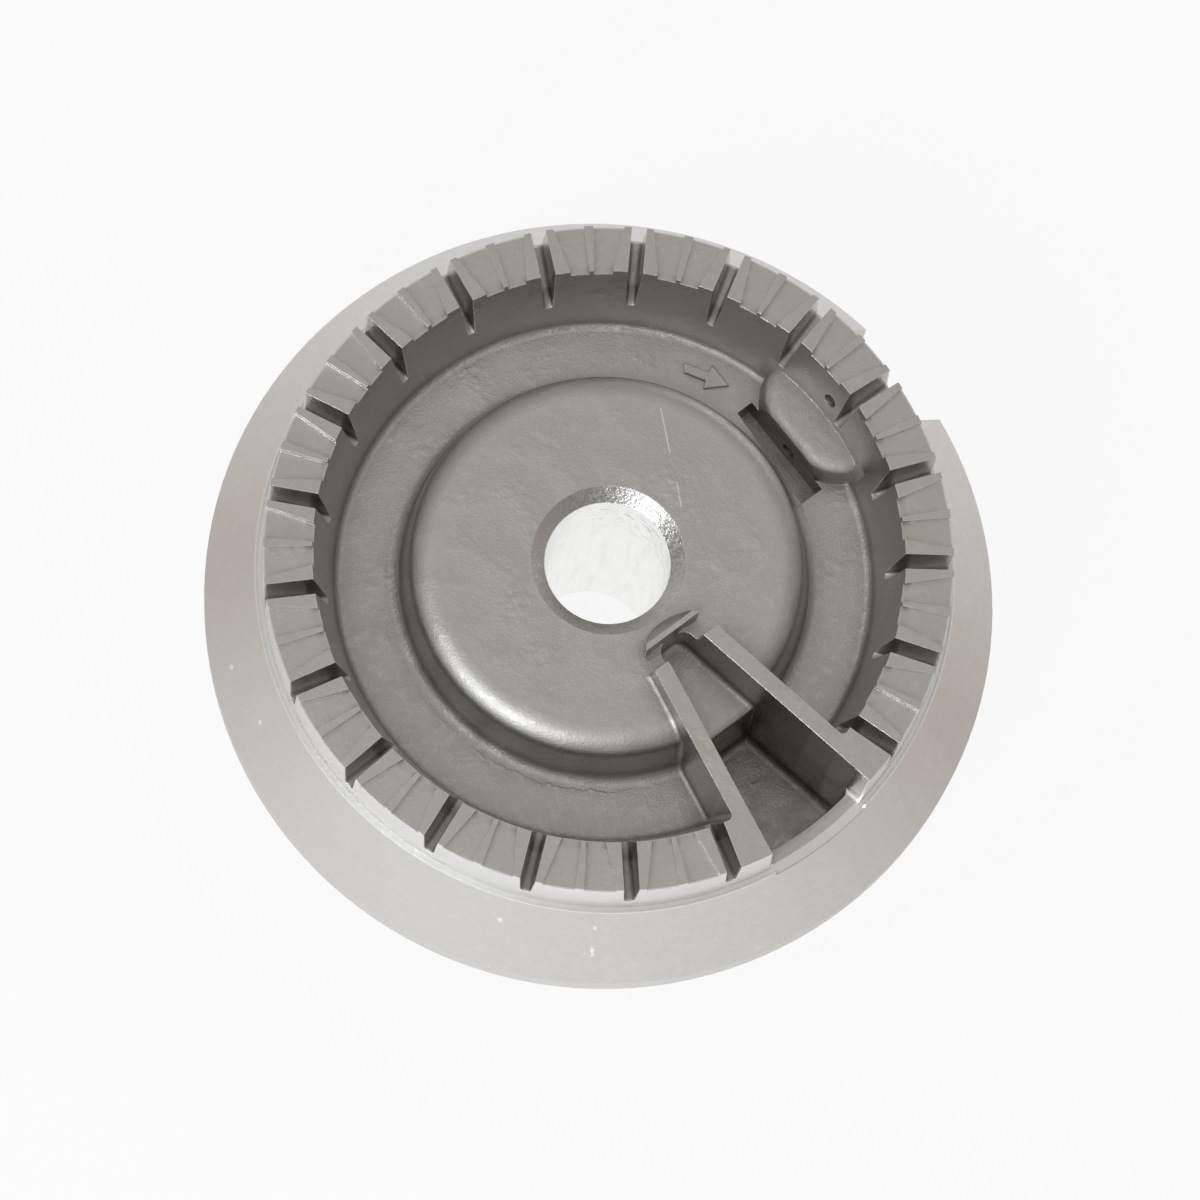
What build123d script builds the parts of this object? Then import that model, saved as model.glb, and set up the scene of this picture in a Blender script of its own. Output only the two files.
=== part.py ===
from build123d import *
from math import cos, hypot, radians, tan
import os

# A gas burner head, cast in one piece of aluminium and turned on its outer ring.
# Millimetres. The bore runs along Z, and the end of the central tube lies on z = 0.
# The open stability pocket faces -Y, and the igniter's notch in the skirt faces +X.

# Skirt: the steep cone that sits on the cooktop
skirt_radius = 47.5
skirt_rim_height = 3.2
skirt_top_radius = 41.45
skirt_rise = 14.3
skirt_wall = 2.3

# Ring that carries the ports, turned on the outside
ring_radius = 40.5
ring_foot_radius = 40.65
ring_height = 21.85
ring_inner_radius = 34.8
groove_depth_at_foot = 0.4

# Channel between the boss and the ring
channel_depth = 11.45
channel_outer_radius = 31.95
channel_outer_round = 1.0
floor_wall = 2.4

# Boss with the mixing tube through it
boss_drop = 3.1
boss_radius = 23.0
boss_foot_radius = 24.45
boss_edge_round = 3.2
boss_foot_round = 1.5
bore_radius = 7.45
countersink_radius = 9.15
countersink_depth = 1.4
tube_wall = 2.5
tube_drop = 20.8
tube_draft = 1.0
underside_chamfer = 1.2

# Main ports, cut between the teeth, and the fan-shaped grooves on each tooth
port_divisions = 21
port_width = 1.8
port_depth_outside = 5.2
port_depth_inside = 6.9
port_floor_round = 0.45
fan_depth = 0.65
fan_land_inside = 0.56
fan_land_outside = 1.1
fan_inner_half_width = 2.55
fan_outer_half_width = 4.37

# Stability pocket: a drafted sector between two straight walls
pocket_direction = -90.0
pocket_half_angle = 10.25
pocket_wall = 2.0
pocket_wall_start = 14.45
pocket_start = 11.95
pocket_start_round = 1.5
pocket_step_position = 23.7
pocket_step_round = 1.1
pocket_floor_height = 3.0
pocket_lip_radius = 38.9
pocket_corner_round = 1.0
pocket_floor_round = 0.8
pocket_shell = 2.2
casting_draft = 3.0
wall_foot_round = 0.6

# Baffle bar between the bore and the pocket
baffle_length = 7.8
baffle_thickness = 2.2
baffle_crest = 0.6

# Igniter side: recess, pad over the drilled passage, pilot port and notch
igniter_direction = 0.0
recess_position = 24.8
recess_width = 3.1
recess_splay = 0.9
recess_length = 13.6
recess_depth = 3.1
pad_position = 27.25
pad_half_width = 5.1
pad_spread = 3.5
pad_rise = 3.8
pad_draft = 9.0
pad_corner_round = 5.2
pad_edge_round = 1.6
passage_radius = 1.05
passage_offset = -0.45
passage_depth = 1.0
pilot_port_radius = 0.9
pilot_port_rise = 6.8
notch_half_width = 7.2
passage_cover = 2.0

# Levels and radii that follow from the sizes above
skirt_foot_z = tube_drop
skirt_shoulder_z = skirt_foot_z + skirt_rim_height
skirt_top_z = skirt_foot_z + skirt_rise
ledge_z = skirt_top_z - groove_depth_at_foot
ring_top_z = skirt_foot_z + ring_height
boss_top_z = ring_top_z - boss_drop
channel_z = ring_top_z - channel_depth
ceiling_z = channel_z - floor_wall
boss_ceiling_z = boss_top_z - floor_wall
throat_top_z = boss_top_z - countersink_depth
tube_radius = bore_radius + tube_wall
pocket_floor_z = skirt_foot_z + pocket_floor_height
recess_floor_z = channel_z - recess_depth
pad_top_z = channel_z + pad_rise
port_pitch = 360.0 / port_divisions
cutter_overlap = 1.0
beyond = skirt_radius + 5 * cutter_overlap


def turned_about_z(solid, angle):
    """Swing a feature that is modelled along +X to its own direction."""
    return Rot(0, 0, angle) * solid


def rounded(face, corners):
    """Round named corners of a flat outline, each to its own radius."""
    for point, radius in corners:
        corner = face.vertices().sort_by_distance(point)[0]
        face = fillet(corner, radius)
    return face


def skirt_slope():
    """Growth of the skirt's radius for each millimetre that it comes down."""
    return (skirt_radius - skirt_top_radius) / (skirt_top_z - skirt_shoulder_z)


def tube_outside(z):
    """Radius of the drafted tube at a height."""
    return tube_radius + z * tan(radians(tube_draft))


def casting_body():
    """The round casting, still solid underneath: tube, boss, channel, ring and skirt."""
    groove_outer = skirt_top_radius - (skirt_top_radius - ring_foot_radius) / 4
    outline = [
        (bore_radius, 0),
        (tube_radius, 0),
        (tube_outside(skirt_foot_z), skirt_foot_z),
        (skirt_radius, skirt_foot_z),
        (skirt_radius, skirt_shoulder_z),
        (skirt_top_radius, skirt_top_z),
        (groove_outer, skirt_top_z),
        (groove_outer, ledge_z),
        (ring_foot_radius, ledge_z),
        (ring_radius, ring_top_z),
        (ring_inner_radius, ring_top_z),
        (channel_outer_radius, channel_z),
        (boss_foot_radius, channel_z),
        (boss_radius, boss_top_z),
        (countersink_radius, boss_top_z),
        (bore_radius, throat_top_z),
    ]
    section = make_face(Polyline(*outline, close=True))
    section = rounded(section, [
        (outline[11], channel_outer_round),
        (outline[12], boss_foot_round),
        (outline[13], boss_edge_round),
    ])
    return revolve(Plane.XZ * section, Axis.Z)


def underside_core():
    """The hollow under the skirt, the channel and the boss, around the tube."""
    inner_rim = skirt_radius - skirt_wall
    inner_ceiling = inner_rim - (ceiling_z - skirt_shoulder_z) * skirt_slope()
    outline = [
        (tube_outside(skirt_foot_z), skirt_foot_z),
        (tube_outside(boss_ceiling_z), boss_ceiling_z),
        (boss_radius - floor_wall, boss_ceiling_z),
        (boss_foot_radius - floor_wall, ceiling_z),
        (inner_ceiling, ceiling_z),
        (inner_rim, skirt_shoulder_z),
        (inner_rim, skirt_foot_z),
    ]
    section = make_face(Polyline(*outline, close=True))
    corners = [section.vertices().sort_by_distance(corner)[0] for corner in outline[1:5]]
    section = chamfer(corners, underside_chamfer)
    return revolve(Plane.XZ * section, Axis.Z)


def sector_outline(start, end, extra):
    """A plan between two radial lines, widened by a wall on each side."""
    slope = tan(radians(pocket_half_angle))
    wide = extra / cos(radians(pocket_half_angle))
    return make_face(Polyline(
        (start, -start * slope - wide),
        (end, -end * slope - wide),
        (end, end * slope + wide),
        (start, start * slope + wide),
        close=True,
    ))


def side_faces(block):
    """The faces of a straight block that stand upright."""
    return block.faces().filter_by(lambda face: abs(face.normal_at().Z) < 0.5)


def prism_down(outline, top_z, bottom_z, taper):
    """A block that goes down from its outline, with its sides drafted inwards."""
    block = extrude(Pos(0, 0, top_z) * outline, top_z - bottom_z, dir=(0, 0, -1))
    return draft(side_faces(block), Plane.XY.offset(top_z), -taper)


def with_pocket_walls(body):
    """Stand the pocket's straight walls on the boss and channel, rounded along their feet."""
    inside_ring = (ring_inner_radius + ring_radius) / 2
    plan = sector_outline(pocket_wall_start, inside_ring, pocket_wall)
    walls = prism_down(plan, ring_top_z, channel_z - floor_wall / 2, -casting_draft)
    walls = turned_about_z(walls, pocket_direction)
    joined = body + walls
    foot = []
    for edge in new_edges(body, walls, combined=joined):
        middle = edge.center()
        if hypot(middle.X, middle.Y) < channel_outer_radius:
            foot.append(edge)
    return fillet(foot, wall_foot_round)


def pocket_shell_under():
    """Walls and floors that carry the pocket under the boss and the channel."""
    mouth = sector_outline(bore_radius + tube_wall / 2, pocket_step_position, pocket_shell)
    mouth_bottom = ledge_z - pocket_shell
    mouth = extrude(Pos(0, 0, mouth_bottom) * mouth, boss_top_z - floor_wall / 2 - mouth_bottom)
    well = sector_outline(pocket_step_position - pocket_shell, beyond, pocket_shell)
    well &= Circle(pocket_lip_radius + pocket_shell)
    well_bottom = pocket_floor_z - pocket_shell
    well = extrude(Pos(0, 0, well_bottom) * well, channel_z - floor_wall / 2 - well_bottom)
    return [mouth, well]


def upright_edges(solid):
    """The edges of a drafted block that run down its corners."""
    return solid.edges().filter_by(lambda edge: abs(edge.tangent_at(0.5).Z) > 0.5)


def pocket_cutter():
    """The pocket itself: a shallow opening from the baffle outwards and a deep well."""
    growth = (ring_top_z - ledge_z) * tan(radians(casting_draft))
    opening = prism_down(sector_outline(bore_radius, beyond, 0), ring_top_z, ledge_z, casting_draft)
    opening &= Pos(pocket_start + beyond / 2, 0, ring_top_z) * Box(beyond, beyond, ring_height)
    corners = upright_edges(opening).group_by(Axis.X)[0]
    opening = fillet(corners, pocket_start_round)
    opening = fillet(opening.faces().sort_by(Axis.Z)[0].edges(), pocket_floor_round)
    well = sector_outline(pocket_step_position - growth, beyond, 0) & Circle(pocket_lip_radius + growth)
    well = prism_down(well, ring_top_z, pocket_floor_z, casting_draft)
    well_floor = well.faces().sort_by(Axis.Z)[0]
    lip_corners = upright_edges(well).sort_by(Axis.X)[-2:]
    well = fillet(lip_corners + well_floor.edges(), pocket_corner_round)
    pocket = opening + well
    step = pocket.edges().sort_by_distance((pocket_step_position, 0, ledge_z))[0]
    return fillet(step, pocket_step_round)


def baffle():
    """Low D-shaped bar across the pocket's axis, with a ramp on the side of the bore."""
    root = boss_top_z - floor_wall / 2
    inner = pocket_start - baffle_thickness
    curve = ((baffle_length / 2) ** 2 + baffle_thickness ** 2) / (2 * baffle_thickness)
    bar = extrude(Pos(inner + curve, 0, root) * Circle(curve), ring_top_z - root)
    side = make_face(Polyline(
        (inner, root),
        (pocket_start, root),
        (pocket_start, ring_top_z),
        (pocket_start - baffle_crest, ring_top_z),
        (inner, boss_top_z),
        close=True,
    ))
    return bar & extrude(Plane.XZ * side, baffle_length, both=True)


def pad():
    """Raised pad against the ring's inner wall, over the drilled passage."""
    half = pad_half_width
    wide = pad_half_width + pad_spread
    behind = (ring_inner_radius + ring_radius) / 2
    plan = make_face(Polyline(
        (pad_position, -half),
        (pad_position + pad_spread, -wide),
        (behind, -wide),
        (behind, wide),
        (pad_position + pad_spread, wide),
        (pad_position, half),
        close=True,
    ))
    solid = extrude(Pos(0, 0, channel_z) * plan, pad_top_z - channel_z)
    solid = draft(side_faces(solid), Plane.XY.offset(channel_z), pad_draft)
    solid = fillet(upright_edges(solid).sort_by(Axis.X)[:4], pad_corner_round)
    return fillet(solid.faces().sort_by(Axis.Z)[-1].edges(), pad_edge_round)


def passage_housing():
    """Thicker floor under the recess and the drilled passage, out to the ring's foot."""
    start = recess_position - passage_cover
    width = recess_length + 2 * passage_cover
    plan = Pos((start + beyond) / 2, 0) * Rectangle(beyond - start, width) & Circle(ring_foot_radius)
    bottom = recess_floor_z - passage_cover
    return extrude(Pos(0, 0, bottom) * plan, channel_z - floor_wall / 2 - bottom)


def recess_cutter():
    """Narrow splayed recess beside the boss, which also trims the foot of the pad."""
    far = recess_position + recess_width
    half = recess_length / 2
    plan = make_face(Polyline(
        (recess_position, -half),
        (far, -half),
        (far, half),
        (recess_position + recess_splay, half),
        close=True,
    ))
    deep = prism_down(plan, channel_z, recess_floor_z, casting_draft)
    return deep + extrude(Pos(0, 0, channel_z) * plan, pad_top_z - channel_z)


def drilled_holes():
    """The passage from the recess and the pilot port above it, both drilled radially."""
    start = recess_position + recess_width / 2
    passage = Plane((start, passage_offset, channel_z - passage_depth), z_dir=(1, 0, 0))
    pilot = Plane((start, 0, channel_z + pilot_port_rise), z_dir=(1, 0, 0))
    return [
        extrude(passage * Circle(passage_radius), beyond - start),
        extrude(pilot * Circle(pilot_port_radius), beyond - start),
    ]


def notch_cutter():
    """Gap in the skirt where the igniter stands, back to the foot of the ring."""
    height = skirt_rise + 2 * cutter_overlap
    middle = skirt_foot_z + skirt_rise / 2
    block = Pos(beyond / 2, 0, middle) * Box(beyond, 2 * notch_half_width, height)
    return block - Pos(0, 0, middle) * Cylinder(ring_foot_radius, height)


def port_cutter():
    """One main port: drafted sides and a rounded floor that rises outwards."""
    start = channel_outer_radius
    end = ring_foot_radius + cutter_overlap
    wall_slope = (ring_inner_radius - channel_outer_radius) / channel_depth
    inside = ring_inner_radius - wall_slope * port_depth_inside
    rise = (port_depth_inside - port_depth_outside) / (ring_radius - inside)
    floor_start = ring_top_z - port_depth_inside - rise * (inside - start)
    floor_end = floor_start + rise * (end - start)
    plan = Pos((start + end) / 2, 0) * Rectangle(end - start, port_width)
    block = prism_down(plan, ring_top_z, channel_z, casting_draft)
    side = make_face(Polyline(
        (start, ring_top_z),
        (start, floor_start),
        (end, floor_end),
        (end, ring_top_z),
        close=True,
    ))
    port = block & extrude(Plane.XZ * side, port_width, both=True)
    floor_edges = port.faces().sort_by(Axis.Z)[0].edges().sort_by(SortBy.LENGTH)
    return fillet(floor_edges[-2:], port_floor_round)


def between_ring_edges(at_inside, at_outside, radius):
    """A half width that grows evenly from the ring's inner edge to its outer edge."""
    growth = (at_outside - at_inside) / (ring_radius - ring_inner_radius)
    return at_inside + growth * (radius - ring_inner_radius)


def fan_cutter(side):
    """One shallow fan-shaped groove on a tooth, left or right of the middle land."""
    inner = channel_outer_radius
    outer = ring_foot_radius + cutter_overlap
    plan = make_face(Polyline(
        (inner, side * between_ring_edges(fan_land_inside / 2, fan_land_outside / 2, inner)),
        (outer, side * between_ring_edges(fan_land_inside / 2, fan_land_outside / 2, outer)),
        (outer, side * between_ring_edges(fan_inner_half_width, fan_outer_half_width, outer)),
        (inner, side * between_ring_edges(fan_inner_half_width, fan_outer_half_width, inner)),
        close=True,
    ))
    return extrude(Pos(0, 0, ring_top_z - fan_depth) * plan, 2 * fan_depth)


def ring_cutters():
    """All the ports and fan grooves, leaving the pocket's division whole."""
    cutters = []
    for place in range(1, port_divisions):
        cutters.append(turned_about_z(port_cutter(), pocket_direction + place * port_pitch))
    for place in range(1, port_divisions - 1):
        tooth = pocket_direction + (place + 0.5) * port_pitch
        for side in (-1, 1):
            cutters.append(turned_about_z(fan_cutter(side), tooth))
    return cutters


def burner_head():
    """The whole casting, built up, hollowed and then cut and drilled."""
    head = with_pocket_walls(casting_body())
    head -= underside_core()
    for shell in pocket_shell_under():
        head += turned_about_z(shell, pocket_direction)
    head += turned_about_z(baffle(), pocket_direction)
    head += turned_about_z(passage_housing(), igniter_direction)
    head += turned_about_z(pad(), igniter_direction)
    head -= turned_about_z(pocket_cutter(), pocket_direction)
    head -= turned_about_z(recess_cutter(), igniter_direction)
    for cutter in drilled_holes():
        head -= turned_about_z(cutter, igniter_direction)
    head -= turned_about_z(notch_cutter(), igniter_direction)
    head -= ring_cutters()
    return head


os.makedirs("parts", exist_ok=True)
export_step(burner_head(), "parts/burner_head.step")
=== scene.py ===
from math import cos, pi, radians, sin

import bmesh
import bpy
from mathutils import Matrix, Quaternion, Vector


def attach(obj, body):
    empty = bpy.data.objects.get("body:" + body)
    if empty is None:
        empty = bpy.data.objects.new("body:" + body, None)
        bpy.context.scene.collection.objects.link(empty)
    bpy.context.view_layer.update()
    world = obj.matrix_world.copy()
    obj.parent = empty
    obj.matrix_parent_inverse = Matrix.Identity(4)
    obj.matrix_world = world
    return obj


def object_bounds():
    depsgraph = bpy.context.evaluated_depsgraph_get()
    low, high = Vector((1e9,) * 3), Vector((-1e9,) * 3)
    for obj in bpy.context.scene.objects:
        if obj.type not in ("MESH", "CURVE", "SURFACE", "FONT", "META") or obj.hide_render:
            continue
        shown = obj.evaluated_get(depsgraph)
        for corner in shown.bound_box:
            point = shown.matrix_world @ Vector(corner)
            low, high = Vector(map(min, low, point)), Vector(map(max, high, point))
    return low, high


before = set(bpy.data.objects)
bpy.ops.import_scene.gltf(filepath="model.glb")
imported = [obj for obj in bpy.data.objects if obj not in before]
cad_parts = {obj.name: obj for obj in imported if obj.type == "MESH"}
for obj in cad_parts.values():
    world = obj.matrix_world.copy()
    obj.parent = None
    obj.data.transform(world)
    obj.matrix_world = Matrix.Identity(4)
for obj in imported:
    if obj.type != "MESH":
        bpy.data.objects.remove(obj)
cad_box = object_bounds()


# The camera stands nearly above the head, on the side of the pocket, with a long lens.
# It is turned a little about its own axis.
camera_place = Vector((-0.13897, -0.11542, 0.64189))
camera_aim = Vector((0.0, 0.0, 0.0208))
camera_turn = Quaternion((0.0, 0.0, 1.0), radians(12.937))
camera_sensor = 36.0
camera_lens = 160.55
camera_shift = (0.00138, 0.0027)
camera_near, camera_far = 0.01, 20.0

camera_data = bpy.data.cameras.new("camera")
camera_data.sensor_width = camera_sensor
camera_data.lens = camera_lens
camera_data.shift_x, camera_data.shift_y = camera_shift
camera_data.clip_start, camera_data.clip_end = camera_near, camera_far
camera = bpy.data.objects.new("camera", camera_data)
bpy.context.collection.objects.link(camera)
camera.location = camera_place
camera.rotation_mode = "QUATERNION"
camera.rotation_quaternion = (camera_aim - camera_place).to_track_quat("-Z", "Y") @ camera_turn
bpy.context.scene.camera = camera
bpy.context.scene.view_settings.view_transform = "Standard"


# The floor is a wide sheet of white paper, and the head stands on it on its tube.
# For the metal the paper glows white towards the front, the back and under the bore, and a dimmer brown at
# the sides, a painted falloff of light.
# Where the camera looks at it, it stays white and still takes the shadow. From below it is clear.
floor_half = 3.0
floor_gap = 0.00003
paper_colour = (0.94, 0.94, 0.94, 1.0)
paper_white_share = 0.90
paper_white = (1.0, 1.0, 1.0, 1.0)
paper_side_painted_glow = (0.63, 0.56, 0.505, 1.0)
paper_front_direction = radians(-50.0)
under_bore_radius = 0.009


def node(tree, kind, **settings):
    """Add a node and set its options."""
    made = tree.nodes.new(kind)
    for name, value in settings.items():
        setattr(made, name, value)
    return made


def feed(tree, value, socket):
    """Give a socket a number, a colour or the output of another node."""
    if isinstance(value, bpy.types.NodeSocket):
        tree.links.new(value, socket)
    else:
        socket.default_value = value


def maths(tree, operation, first, second=0.0):
    """Work on two values; each is a number or an output socket."""
    made = node(tree, "ShaderNodeMath", operation=operation)
    feed(tree, first, made.inputs[0])
    feed(tree, second, made.inputs[1])
    return made.outputs["Value"]


def vector_maths(tree, operation, first, second=None):
    """Work on vectors; a product, a length or a distance comes out as a number."""
    made = node(tree, "ShaderNodeVectorMath", operation=operation)
    feed(tree, first, made.inputs[0])
    if second is not None:
        feed(tree, second, made.inputs["Scale" if operation == "SCALE" else 1])
    gives_number = operation in ("DOT_PRODUCT", "LENGTH", "DISTANCE")
    return made.outputs["Value" if gives_number else "Vector"]


def mix_colours(tree, mask, first, second):
    """Mix two colours by a mask; each is a colour or an output socket."""
    made = node(tree, "ShaderNodeMix", data_type="RGBA")
    feed(tree, mask, made.inputs["Factor"])
    first_colour, second_colour = [socket for socket in made.inputs if socket.type == "RGBA"]
    feed(tree, first, first_colour)
    feed(tree, second, second_colour)
    return [socket for socket in made.outputs if socket.type == "RGBA"][0]


floor_mesh = bpy.data.meshes.new("floor")
floor_corners = [(floor_half * x, floor_half * y, 0.0) for x, y in ((-1, -1), (1, -1), (1, 1), (-1, 1))]
floor_mesh.from_pydata(floor_corners, [], [(0, 1, 2, 3)])
floor = bpy.data.objects.new("floor", floor_mesh)
floor.location.z = cad_box[0][2] - floor_gap
bpy.context.collection.objects.link(floor)

paper = bpy.data.materials.new("white_paper")
paper.use_nodes = True
tree = paper.node_tree
tree.nodes.clear()
rays = node(tree, "ShaderNodeLightPath")
floor_place = node(tree, "ShaderNodeTexCoord").outputs["Object"]
front = (sin(-paper_front_direction), cos(-paper_front_direction), 0.0)
outwards = vector_maths(tree, "NORMALIZE", floor_place)
frontal = maths(tree, "ABSOLUTE", vector_maths(tree, "DOT_PRODUCT", outwards, front))
under_bore = maths(tree, "LESS_THAN", vector_maths(tree, "LENGTH", floor_place), under_bore_radius)
metal_rays = maths(tree, "MAXIMUM", rays.outputs["Is Glossy Ray"], rays.outputs["Is Transmission Ray"])
seen_rays = maths(tree, "MAXIMUM", rays.outputs["Is Camera Ray"], metal_rays)
whiter = maths(tree, "MAXIMUM", maths(tree, "MAXIMUM", frontal, under_bore), rays.outputs["Is Camera Ray"])

sheet = node(tree, "ShaderNodeBsdfDiffuse")
sheet.inputs["Color"].default_value = paper_colour
glow = node(tree, "ShaderNodeEmission")
glow.inputs["Strength"].default_value = 1.0
# Towards the sides the paper glows dimmer and brown for the metal, a painted falloff of light.
feed(tree, mix_colours(tree, whiter, paper_side_painted_glow, paper_white), glow.inputs["Color"])
lit_paper = node(tree, "ShaderNodeMixShader")
feed(tree, maths(tree, "MULTIPLY", seen_rays, paper_white_share), lit_paper.inputs["Fac"])
feed(tree, sheet.outputs["BSDF"], lit_paper.inputs[1])
feed(tree, glow.outputs["Emission"], lit_paper.inputs[2])
two_sides = node(tree, "ShaderNodeMixShader")
feed(tree, node(tree, "ShaderNodeNewGeometry").outputs["Backfacing"], two_sides.inputs["Fac"])
feed(tree, lit_paper.outputs["Shader"], two_sides.inputs[1])
feed(tree, node(tree, "ShaderNodeBsdfTransparent").outputs["BSDF"], two_sides.inputs[2])
feed(tree, two_sides.outputs["Shader"], node(tree, "ShaderNodeOutputMaterial").inputs["Surface"])
floor_mesh.materials.append(paper)


# The light is a white tent: bright just above the floor, dim half way up and paler overhead,
# where the camera looks in. One large soft box stands on the left of the camera.
tent_levels = ((0.0, 0.95), (0.10, 0.80), (0.30, 0.34), (0.62, 0.32), (0.93, 0.54), (1.0, 0.55))
tent_side_tint = (1.0, 1.0, 1.0, 1.0)
tent_overhead_tint = (1.0, 0.965, 0.925, 1.0)
soft_box_angle = radians(189.0)
soft_box_distance = 0.55
soft_box_height = 0.42
soft_box_size = 0.44
soft_box_power = 1.95
soft_box_tint = (0.92, 0.955, 1.0)

world = bpy.data.worlds.new("light_tent")
bpy.context.scene.world = world
world.use_nodes = True
tree = world.node_tree
tent = tree.nodes["Background"]
direction = node(tree, "ShaderNodeSeparateXYZ")
feed(tree, node(tree, "ShaderNodeTexCoord").outputs["Generated"], direction.inputs["Vector"])
fade = node(tree, "ShaderNodeValToRGB")
for place, (height, brightness) in enumerate(tent_levels):
    if place > 1:
        fade.color_ramp.elements.new(height)
    fade.color_ramp.elements[place].position = height
    fade.color_ramp.elements[place].color = (brightness, brightness, brightness, 1.0)
feed(tree, direction.outputs["Z"], fade.inputs["Fac"])
feed(tree, fade.outputs["Color"], tent.inputs["Strength"])
tent_tint = mix_colours(tree, direction.outputs["Z"], tent_side_tint, tent_overhead_tint)
feed(tree, tent_tint, tent.inputs["Color"])

soft_box_data = bpy.data.lights.new("soft_box", "AREA")
soft_box_data.size = soft_box_size
soft_box_data.energy = soft_box_power
soft_box_data.color = soft_box_tint
soft_box = bpy.data.objects.new("soft_box", soft_box_data)
bpy.context.collection.objects.link(soft_box)
soft_box.location = (
    soft_box_distance * cos(soft_box_angle),
    soft_box_distance * sin(soft_box_angle),
    soft_box_height,
)
soft_box.rotation_euler = (camera_aim - soft_box.location).to_track_quat("-Z", "Y").to_euler()


# The head is one aluminium die casting. Its skin is bead-blasted to an even warm grey,
# and only the outer wall of the ring is turned afterwards, so it is bright and finely lined.
# The countersink and the bore are machined roughly, with torn metal on their walls.
blasted_colour = (0.665, 0.65, 0.62, 1.0)
heat_tint_colour = (0.56, 0.48, 0.42, 1.0)
polished_spot_colour = (0.76, 0.75, 0.735, 1.0)
steep_wall_shade_colour = (0.41, 0.405, 0.395, 1.0)
ring_wall_shade_colour = (0.54, 0.535, 0.525, 1.0)
port_wall_light_colour = (0.72, 0.71, 0.69, 1.0)
skirt_colour = (0.685, 0.675, 0.665, 1.0)
turned_colour = (0.96, 0.96, 0.95, 1.0)
countersink_colour = (0.74, 0.72, 0.69, 1.0)
countersink_painted_shade_colour = (0.56, 0.51, 0.47, 1.0)
torn_colour = (0.50, 0.49, 0.47, 1.0)
bore_score_colour = (0.70, 0.69, 0.67, 1.0)
bore_mark_colour = (0.34, 0.33, 0.32, 1.0)
edge_highlight_and_wear_colour = (0.95, 0.95, 0.94, 1.0)
recess_shade_colour = (0.20, 0.18, 0.155, 1.0)

blasted_roughness = 0.51
skirt_roughness = 0.42
steep_wall_roughness = 0.36
port_wall_roughness = 0.27
pad_roughness = 0.66
turned_roughness = 0.38
countersink_roughness = 0.32
bore_roughness = 0.20
edge_roughness = 0.24

# Where each finish lies: radii from the axis and levels above the tube's lower end, in millimetres.
millimetres = 1000.0
far_out = 60.0
bore_radii, bore_top = (7.0, 7.6), 38.2
countersink_radii, countersink_levels = (7.0, 9.3), (38.0, 39.53)
boss_edge_radii = (17.5, 24.5)
ring_side_radii = (31.4, far_out)
fan_groove_radius = 34.0
port_radii = (35.2, far_out)
outside_radii = (40.25, far_out)
turned_radii, turned_levels = (40.3, 41.55), (34.6, 42.64)
skirt_radii = (41.2, far_out)
pocket_x, pocket_y, pocket_levels = (-7.6, 7.6), (-39.5, -23.6), (20.0, 36.0)
pad_x, pad_y, pad_levels = (26.0, 34.6), (-9.5, 9.5), (31.6, 36.2)
flash_radii, flash_x, flash_levels = (26.55, 26.95), (-26.5, -12.0), (31.0, 32.2)
bore_mark_levels = (27.0, far_out)
steep_limits = (-1.0, 0.62)


def noise(tree, vector, scale, detail, roughness):
    """A noise pattern over the surface, with its scale in waves for each millimetre."""
    made = node(tree, "ShaderNodeTexNoise")
    feed(tree, vector, made.inputs["Vector"])
    feed(tree, scale, made.inputs["Scale"])
    feed(tree, detail, made.inputs["Detail"])
    feed(tree, roughness, made.inputs["Roughness"])
    return made.outputs["Fac"]


def within_one(tree, value):
    """Hold a value between 0 and 1."""
    return maths(tree, "MINIMUM", maths(tree, "MAXIMUM", value, 0.0), 1.0)


def above(tree, value, start, gain):
    """How far a value rises above its start, made stronger; below the start it is 0."""
    risen = maths(tree, "MAXIMUM", maths(tree, "SUBTRACT", value, start), 0.0)
    return maths(tree, "MULTIPLY", risen, gain)


def new_group(name, inputs, outputs):
    """Start a node group with named inputs and outputs."""
    group = bpy.data.node_groups.new(name, "ShaderNodeTree")
    for socket, kind, value in inputs:
        made = group.interface.new_socket(socket, in_out="INPUT", socket_type=kind)
        made.default_value = value
    for socket, kind in outputs:
        group.interface.new_socket(socket, in_out="OUTPUT", socket_type=kind)
    return group, node(group, "NodeGroupInput").outputs, node(group, "NodeGroupOutput").inputs


def place_group(tree, group, **inputs):
    """Put a node group into a material with its own values."""
    made = node(tree, "ShaderNodeGroup", node_tree=group)
    for name, value in inputs.items():
        feed(tree, value, made.inputs[name.replace("_", " ")])
    return made.outputs


# Band: where a value lies between two limits, with soft ends.
band_group, given, found = new_group(
    "band",
    [("Value", "NodeSocketFloat", 0.0), ("Low", "NodeSocketFloat", 0.0),
     ("High", "NodeSocketFloat", 1.0), ("Softness", "NodeSocketFloat", 0.1)],
    [("Mask", "NodeSocketFloat")])
tree = band_group
past_low = maths(tree, "SUBTRACT", given["Value"], given["Low"])
short_of_high = maths(tree, "SUBTRACT", given["High"], given["Value"])
depth = maths(tree, "MINIMUM", past_low, short_of_high)
feed(tree, within_one(tree, maths(tree, "DIVIDE", depth, given["Softness"])), found["Mask"])

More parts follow.
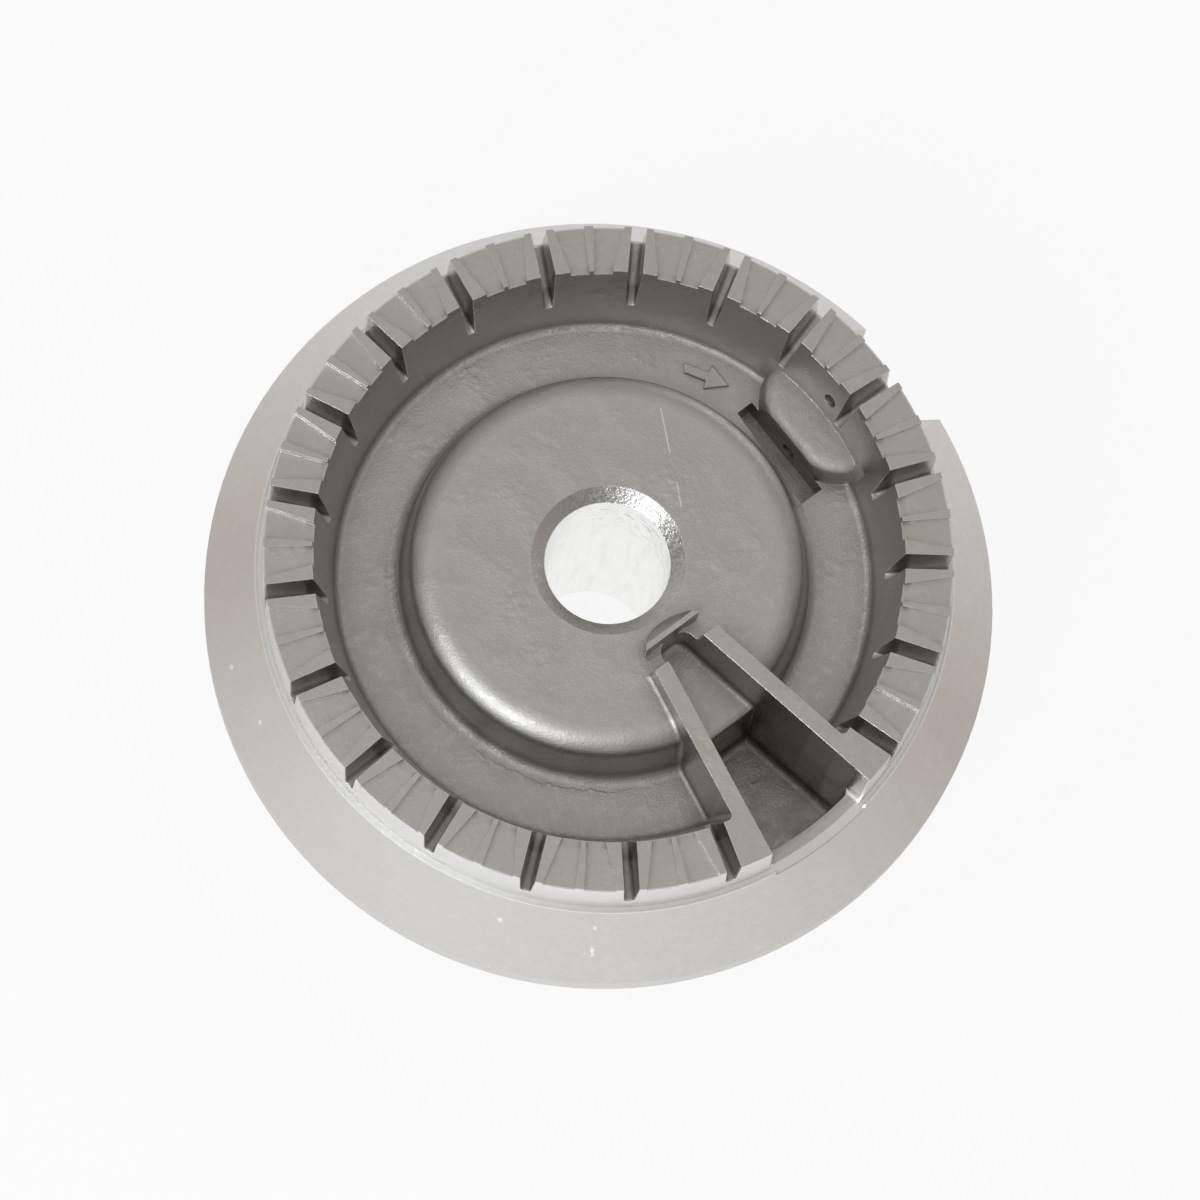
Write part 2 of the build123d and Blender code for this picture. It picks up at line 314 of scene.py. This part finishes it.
# Blasted skin: fine dimples from the beads over the soft waves of the casting.
swell_share = 1.2
ripple_start, ripple_gain, ripple_least = 0.40, 7.0, 0.25
dimple_mottle, ripple_mottle = 0.6, 0.4
skin_group, given, found = new_group(
    "blasted_skin",
    [("Position", "NodeSocketVector", (0.0, 0.0, 0.0)), ("Dimple Size", "NodeSocketFloat", 0.25)],
    [("Height", "NodeSocketFloat"), ("Mottle", "NodeSocketFloat")])
tree = skin_group
in_dimples = vector_maths(tree, "DIVIDE", given["Position"], given["Dimple Size"])
dimples = noise(tree, in_dimples, scale=0.8, detail=1.5, roughness=0.75)
ripples = noise(tree, in_dimples, scale=0.2, detail=1.0, roughness=0.5)
swells = noise(tree, given["Position"], scale=0.22, detail=0.0, roughness=0.5)
patches = maths(tree, "MAXIMUM", above(tree, swells, ripple_start, ripple_gain), ripple_least)
height = maths(tree, "ADD", dimples, maths(tree, "MULTIPLY", ripples, patches))
height = maths(tree, "ADD", height, maths(tree, "MULTIPLY", swells, swell_share))
mottle = maths(tree, "ADD", maths(tree, "MULTIPLY", dimples, dimple_mottle),
               maths(tree, "MULTIPLY", ripples, ripple_mottle))
feed(tree, height, found["Height"])
feed(tree, mottle, found["Mottle"])

# Turned lines: the fine grooves that the tool leaves around the ring.
turned_group, given, found = new_group(
    "turned_lines",
    [("Height Along Axis", "NodeSocketFloat", 0.0), ("Pitch", "NodeSocketFloat", 0.12)],
    [("Height", "NodeSocketFloat")])
tree = turned_group
turns = maths(tree, "DIVIDE", given["Height Along Axis"], given["Pitch"])
feed(tree, maths(tree, "SINE", maths(tree, "MULTIPLY", turns, 2 * pi)), found["Height"])

# Scratch: a thin straight mark between two points, or a ragged ding where part is torn away.
scratch_firmness = 2.5
scratch_group, given, found = new_group(
    "scratch",
    [("Position", "NodeSocketVector", (0.0, 0.0, 0.0)), ("Start", "NodeSocketVector", (0.0, 0.0, 0.0)),
     ("Finish", "NodeSocketVector", (1.0, 0.0, 0.0)), ("Width", "NodeSocketFloat", 0.1),
     ("Torn Away", "NodeSocketFloat", 0.0)],
    [("Mask", "NodeSocketFloat")])
tree = scratch_group
run = vector_maths(tree, "SUBTRACT", given["Finish"], given["Start"])
away = vector_maths(tree, "SUBTRACT", given["Position"], given["Start"])
part_way = maths(tree, "DIVIDE", vector_maths(tree, "DOT_PRODUCT", away, run),
                 vector_maths(tree, "DOT_PRODUCT", run, run))
nearest = vector_maths(tree, "SCALE", run, within_one(tree, part_way))
gap = vector_maths(tree, "DISTANCE", away, nearest)
inside = maths(tree, "SUBTRACT", 1.0, maths(tree, "DIVIDE", gap, given["Width"]))
left_whole = above(tree, inside, given["Torn Away"], scratch_firmness)
feed(tree, maths(tree, "MINIMUM", left_whole, 1.0), found["Mask"])

# Edge highlight: sharp corners are painted bright here and there, a painted highlight, and show a thin
# rounded line.
edge_radius = 0.00017
edge_gain = 9.0
edge_group, given, found = new_group(
    "edge_rounding_and_highlight",
    [("Position", "NodeSocketVector", (0.0, 0.0, 0.0)), ("Strength", "NodeSocketFloat", 1.0)],
    [("Mask", "NodeSocketFloat"), ("Normal", "NodeSocketVector")])
tree = edge_group
rounding = node(tree, "ShaderNodeBevel", samples=2)
rounding.inputs["Radius"].default_value = edge_radius
rounded = rounding.outputs["Normal"]
sharp = node(tree, "ShaderNodeNewGeometry").outputs["Normal"]
bend = maths(tree, "SUBTRACT", 1.0, vector_maths(tree, "DOT_PRODUCT", rounded, sharp))
bend = maths(tree, "MULTIPLY", maths(tree, "MULTIPLY", bend, edge_gain), given["Strength"])
stretches = noise(tree, given["Position"], scale=0.7, detail=2.0, roughness=0.7)
stretches = maths(tree, "MINIMUM", above(tree, stretches, start=0.36, gain=6.0), 1.0)
highlit_edges = maths(tree, "MINIMUM", maths(tree, "MULTIPLY", bend, stretches), 1.0)
feed(tree, highlit_edges, found["Mask"])
feed(tree, rounded, found["Normal"])

cast_aluminium = bpy.data.materials.new("cast_aluminium")
cast_aluminium.use_nodes = True
tree = cast_aluminium.node_tree
metal = tree.nodes["Principled BSDF"]
metal.inputs["Metallic"].default_value = 1.0


def band(value, limits, softness):
    """The part of the head where a value lies between two limits."""
    low, high = limits
    return place_group(tree, band_group, Value=value, Low=low, High=high, Softness=softness)["Mask"]


def both(first, second):
    """Where two masks meet, or a weaker mask where the second is a number."""
    return maths(tree, "MULTIPLY", first, second)


def either(first, second):
    """Where one mask or the other is."""
    return maths(tree, "MAXIMUM", first, second)


def off(mask):
    """Where a mask isn't."""
    return maths(tree, "SUBTRACT", 1.0, mask)


def blend(mask, first, second):
    """Mix two colours of the head by a mask."""
    return mix_colours(tree, mask, first, second)


def mix_values(mask, first, second):
    """Mix two numbers by a mask."""
    return maths(tree, "ADD", both(off(mask), first), both(mask, second))


position = node(tree, "ShaderNodeTexCoord").outputs["Object"]
position = vector_maths(tree, "SCALE", position, millimetres)
axes = node(tree, "ShaderNodeSeparateXYZ")
feed(tree, position, axes.inputs["Vector"])
x_reach, y_reach, level = axes.outputs["X"], axes.outputs["Y"], axes.outputs["Z"]
level_plane = (1.0, 1.0, 0.0)
radius = vector_maths(tree, "LENGTH", vector_maths(tree, "MULTIPLY", position, level_plane))
facing = node(tree, "ShaderNodeSeparateXYZ")
feed(tree, node(tree, "ShaderNodeNewGeometry").outputs["Normal"], facing.inputs["Vector"])
upward = maths(tree, "ABSOLUTE", facing.outputs["Z"])


def towards(degrees, reach):
    """How far a point lies towards one side, from 0 at the axis to 1 at the reach."""
    side = (cos(radians(degrees)), sin(radians(degrees)), 0.0)
    return within_one(tree, maths(tree, "DIVIDE", vector_maths(tree, "DOT_PRODUCT", position, side), reach))


# The places of the finishes.
turned = both(band(radius, turned_radii, softness=0.1), band(level, turned_levels, softness=0.05))
skirt = band(radius, skirt_radii, softness=0.1)
countersink = both(band(radius, countersink_radii, softness=0.15),
                   band(level, countersink_levels, softness=0.05))
bore = both(band(radius, bore_radii, softness=0.05), maths(tree, "LESS_THAN", level, bore_top))
machined = either(either(band(radius, outside_radii, softness=0.05), bore), countersink)
steep = both(band(upward, steep_limits, softness=0.25), off(machined))
ring_side = band(radius, ring_side_radii, softness=0.4)
in_port = band(radius, port_radii, softness=0.6)
pocket = both(both(band(x_reach, pocket_x, softness=0.6), band(y_reach, pocket_y, softness=0.3)),
              band(level, pocket_levels, softness=3.0))
pad = both(both(band(x_reach, pad_x, softness=0.4), band(y_reach, pad_y, softness=0.5)),
           band(level, pad_levels, softness=0.4))

# The blasted skin has faint heat tints and small polished spots. Steep walls are painted darker, a painted
# shade, and the walls of the ports lighter, a painted light. The skirt is paler, and the turned wall of the
# ring is bright.
speckle_start = 0.5
skin_spots, skirt_spots = 2.5, 2.0
skin = place_group(tree, skin_group, Position=position, Dimple_Size=0.25)
speckle = maths(tree, "MAXIMUM", maths(tree, "SUBTRACT", skin["Mottle"], speckle_start), 0.0)
tint = above(tree, noise(tree, position, scale=0.14, detail=2.0, roughness=0.5), start=0.55, gain=0.8)
colour = blend(tint, blasted_colour, heat_tint_colour)
colour = blend(both(speckle, skin_spots), colour, polished_spot_colour)
# Steep walls are painted darker, a painted shade, and lighter in the ports, a painted light.
wall_shade_and_light_colour = blend(in_port, blend(ring_side, steep_wall_shade_colour, ring_wall_shade_colour), port_wall_light_colour)
colour = blend(steep, colour, wall_shade_and_light_colour)
colour = blend(skirt, colour, blend(both(speckle, skirt_spots), skirt_colour, polished_spot_colour))
colour = blend(turned, colour, turned_colour)

# The countersink is smooth on one side and torn by the tool on the other. It is also painted darker and
# browner towards one side, a painted shade.
chatter = noise(tree, position, scale=2.2, detail=2.0, roughness=0.65)
torn_share = towards(degrees=24.0, reach=5.0)
torn_spots = maths(tree, "MINIMUM", both(torn_share, above(tree, chatter, start=0.42, gain=5.0)), 1.0)
# Painted shade: the cone darkens and browns towards one side.
cone_colour_and_shade = blend(towards(degrees=140.0, reach=8.0), countersink_colour, countersink_painted_shade_colour)
colour = blend(countersink, colour, blend(torn_spots, cone_colour_and_shade, torn_colour))

# The bore has long faint scores, and dark marks near its top on one side.
score_stretch, mark_stretch = (1.0, 1.0, 0.12), (0.55, 0.55, 1.3)
along_bore = vector_maths(tree, "MULTIPLY", position, score_stretch)
around_bore = vector_maths(tree, "MULTIPLY", position, mark_stretch)
scores = above(tree, noise(tree, along_bore, scale=0.9, detail=1.0, roughness=0.7), start=0.5, gain=1.1)
bore_marks = noise(tree, around_bore, scale=1.0, detail=2.0, roughness=0.75)
bore_marks = maths(tree, "MINIMUM", above(tree, bore_marks, start=0.56, gain=9.0), 1.0)
bore_marks = both(bore_marks, band(level, bore_mark_levels, softness=9.0))
bore_marks = both(bore_marks, towards(degrees=-5.0, reach=7.0))
bore_colour = blend(scores, turned_colour, bore_score_colour)
colour = blend(bore, colour, blend(bore_marks, bore_colour, bore_mark_colour))

# Painted shade darkens the corners, where little light reaches, but hardly the ports, and darkens the
# stability pocket in patches.
corner_reach = 0.003
corner_shade, pocket_shade, port_shade_cut = 0.7, 0.75, 0.95
corner = node(tree, "ShaderNodeAmbientOcclusion", samples=1)
corner.inputs["Distance"].default_value = corner_reach
in_corner = both(both(off(corner.outputs["AO"]), corner_shade), off(machined))
in_corner = both(in_corner, off(both(in_port, port_shade_cut)))
pocket_patches = noise(tree, position, scale=0.45, detail=2.0, roughness=0.6)
in_pocket = both(pocket, both(pocket_patches, pocket_shade))
painted_shade = maths(tree, "MINIMUM", maths(tree, "ADD", in_corner, in_pocket), 1.0)
# The corners and the pocket are painted darker, a painted shade.
colour = blend(painted_shade, colour, recess_shade_colour)
edge = place_group(tree, edge_group, Position=position, Strength=1.0)
# Sharp edges are painted near white here and there, a painted highlight.
colour = blend(edge["Mask"], colour, edge_highlight_and_wear_colour)


def relief(height, strength, distance, below):
    """Raise the surface by a pattern, on top of another relief or of a normal."""
    made = node(tree, "ShaderNodeBump")
    made.inputs["Distance"].default_value = distance
    feed(tree, strength, made.inputs["Strength"])
    feed(tree, height, made.inputs["Height"])
    feed(tree, below, made.inputs["Normal"])
    return made.outputs["Normal"]


# The dimples of the skin are lower on steep walls, on the boss's round edge and on the ring.
# Each relief has its masks on its strength, because a pattern is worked out three times.
skin_relief = 0.00007
calm_share = 0.45
calm = either(either(steep, band(radius, boss_edge_radii, softness=2.0)),
              maths(tree, "GREATER_THAN", radius, fan_groove_radius))
tooled = either(either(turned, countersink), bore)
skin_share = both(off(both(calm, calm_share)), off(tooled))
normal = relief(skin["Height"], skin_share, skin_relief, edge["Normal"])

# The tool leaves torn metal in the countersink, a little in the bore and next to none on the ring.
tool_relief = 0.0001
line_pitch, line_share = 0.22, 0.05
torn_least, torn_most = 0.05, 0.95
bore_tool_share, turned_tool_share = 0.25, 0.05
lines = place_group(tree, turned_group, Height_Along_Axis=level, Pitch=line_pitch)
tool_height = maths(tree, "ADD", chatter, both(lines["Height"], line_share))
tool_share = both(countersink, maths(tree, "ADD", torn_least, both(torn_share, torn_most)))
tool_share = either(tool_share, both(bore, bore_tool_share))
tool_share = either(tool_share, both(turned, turned_tool_share))
normal = relief(tool_height, tool_share, tool_relief, normal)

# A low line of flash runs along the foot of the boss, where the die's insert ended.
flash_relief = 0.00006
flash_wander = 1.3
wander = both(noise(tree, position, scale=0.55, detail=2.0, roughness=0.7), flash_wander)
flash = band(maths(tree, "ADD", radius, wander), flash_radii, softness=0.12)
flash_half = both(band(x_reach, flash_x, softness=5.0), maths(tree, "LESS_THAN", y_reach, 0.0))
flash_share = both(band(level, flash_levels, softness=0.1), flash_half)
normal = relief(flash, flash_share, flash_relief, normal)
feed(tree, normal, metal.inputs["Normal"])

# Two thin scratches and two nicks are on the boss, and ragged dings on the skirt.
# Each has its two ends, its width and what is torn away from it.
mark_gain = 1.6
ragged = noise(tree, position, scale=3.5, detail=1.0, roughness=0.6)
whole = 0.0
marks = 0.0
for start, finish, width, torn_away in (
    ((16.44, 10.95, 39.55), (13.93, 6.01, 39.55), 0.10, whole),
    ((12.31, 2.59, 39.55), (10.94, 0.07, 39.55), 0.10, whole),
    ((-8.08, -1.15, 39.55), (-8.1, -1.2, 39.55), 0.20, whole),
    ((3.67, -6.14, 39.3), (3.7, -6.2, 39.3), 0.25, whole),
    ((-28.2, -34.2, 29.6), (-28.7, -35.0, 28.3), 0.45, ragged),
    ((-28.38, -34.44, 29.27), (-28.40, -34.46, 29.2), 0.70, ragged),
    ((-27.12, -33.04, 32.72), (-27.2, -33.1, 32.6), 0.55, ragged),
    ((-35.17, -25.43, 31.51), (-35.2, -25.5, 31.4), 0.70, ragged),
    ((-41.28, 18.52, 28.14), (-41.4, 18.6, 27.9), 0.75, ragged),
    ((-42.95, 10.78, 29.90), (-43.0, 10.8, 29.8), 0.70, ragged),
):
    mark = place_group(tree, scratch_group, Position=position, Start=start, Finish=finish,
                       Width=width, Torn_Away=torn_away)
    marks = either(marks, mark["Mask"])
# The marks are painted near white: the scratches and nicks as bare metal, the dings also as a painted
# highlight where they catch the light.
colour = blend(maths(tree, "MINIMUM", both(marks, mark_gain), 1.0), colour, edge_highlight_and_wear_colour)
feed(tree, colour, metal.inputs["Base Color"])

# The skin is dull, most of all on the pad. The polished spots and what the tool cut are glossier.
speckle_gloss = 0.6
wall_roughness = mix_values(in_port, steep_wall_roughness, port_wall_roughness)
roughness = mix_values(skirt, blasted_roughness, skirt_roughness)
for mask, value in (
    (steep, wall_roughness),
    (pad, pad_roughness),
    (turned, turned_roughness),
    (countersink, countersink_roughness),
    (bore, bore_roughness),
    (edge["Mask"], edge_roughness),
):
    roughness = mix_values(mask, roughness, value)
roughness = maths(tree, "SUBTRACT", roughness, both(speckle, speckle_gloss))
feed(tree, roughness, metal.inputs["Roughness"])

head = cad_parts["burner_head"]
for slot in head.material_slots:
    slot.material = cast_aluminium


# A plain arrow stands proud of the channel floor and points round to the igniter.
# It is part of the casting, with a flat top and sloping sides. Its sizes are in millimetres.
arrow_outline = (
    (24.42, 15.64), (23.61, 14.61), (24.98, 12.31), (24.19, 11.62),
    (26.96, 10.01), (27.01, 13.37), (26.08, 12.92),
)
arrow_floor = 31.2
arrow_height = 0.35
arrow_sunk = 0.1
arrow_edge = 0.22
arrow_edge_steps = 3
arrow_edge_shape = 0.5

arrow_mesh = bpy.data.meshes.new("raised_arrow")
shape = bmesh.new()
foot_level = (arrow_floor - arrow_sunk) / millimetres
corners = [shape.verts.new((x / millimetres, y / millimetres, foot_level)) for x, y in arrow_outline]
foot = shape.faces.new(corners)
lifted = bmesh.ops.extrude_face_region(shape, geom=[foot])
top = [item for item in lifted["geom"] if isinstance(item, bmesh.types.BMVert)]
bmesh.ops.translate(shape, verts=top, vec=(0.0, 0.0, (arrow_height + arrow_sunk) / millimetres))
bmesh.ops.recalc_face_normals(shape, faces=shape.faces)
rim = [edge for edge in shape.edges if all(corner in top for corner in edge.verts)]
bmesh.ops.bevel(shape, geom=rim, offset=arrow_edge / millimetres, segments=arrow_edge_steps,
                profile=arrow_edge_shape, affect="EDGES")
shape.to_mesh(arrow_mesh)
shape.free()
arrow = bpy.data.objects.new("raised_arrow", arrow_mesh)
bpy.context.collection.objects.link(arrow)
arrow_mesh.materials.append(cast_aluminium)
for face in arrow_mesh.polygons:
    face.use_smooth = False
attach(arrow, "root")
